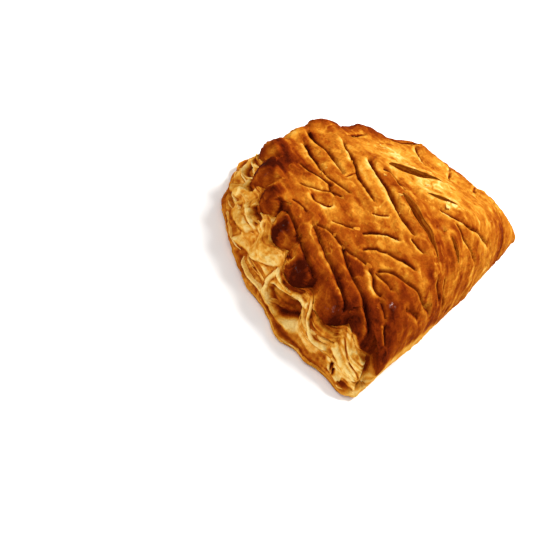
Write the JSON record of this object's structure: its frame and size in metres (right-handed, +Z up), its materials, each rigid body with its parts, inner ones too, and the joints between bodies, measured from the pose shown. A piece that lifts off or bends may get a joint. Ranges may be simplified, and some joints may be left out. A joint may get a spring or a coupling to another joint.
{
  "type": "pastry turnover",
  "caption": "Half-moon puff pastry turnover with a straight rounded fold, a fluted flaky edge, a leaf-scored top and opened slashes that show the fruit filling.",
  "frame": {"origin": "middle of the flat base, on the surface the pastry lies on", "axes": "+X along the straight fold towards the thin corner, +Y from the fold towards the fluted edge, +Z up"},
  "size_m": [0.1387, 0.0892, 0.0354],
  "materials": {
    "crust": "glazed golden to dark brown baked puff pastry, pale at the cut layers",
    "filling": "moist cooked fruit"
  },
  "bodies": {
    "root": {"crust": "crust", "filling": "filling"}
  },
  "joints": []
}
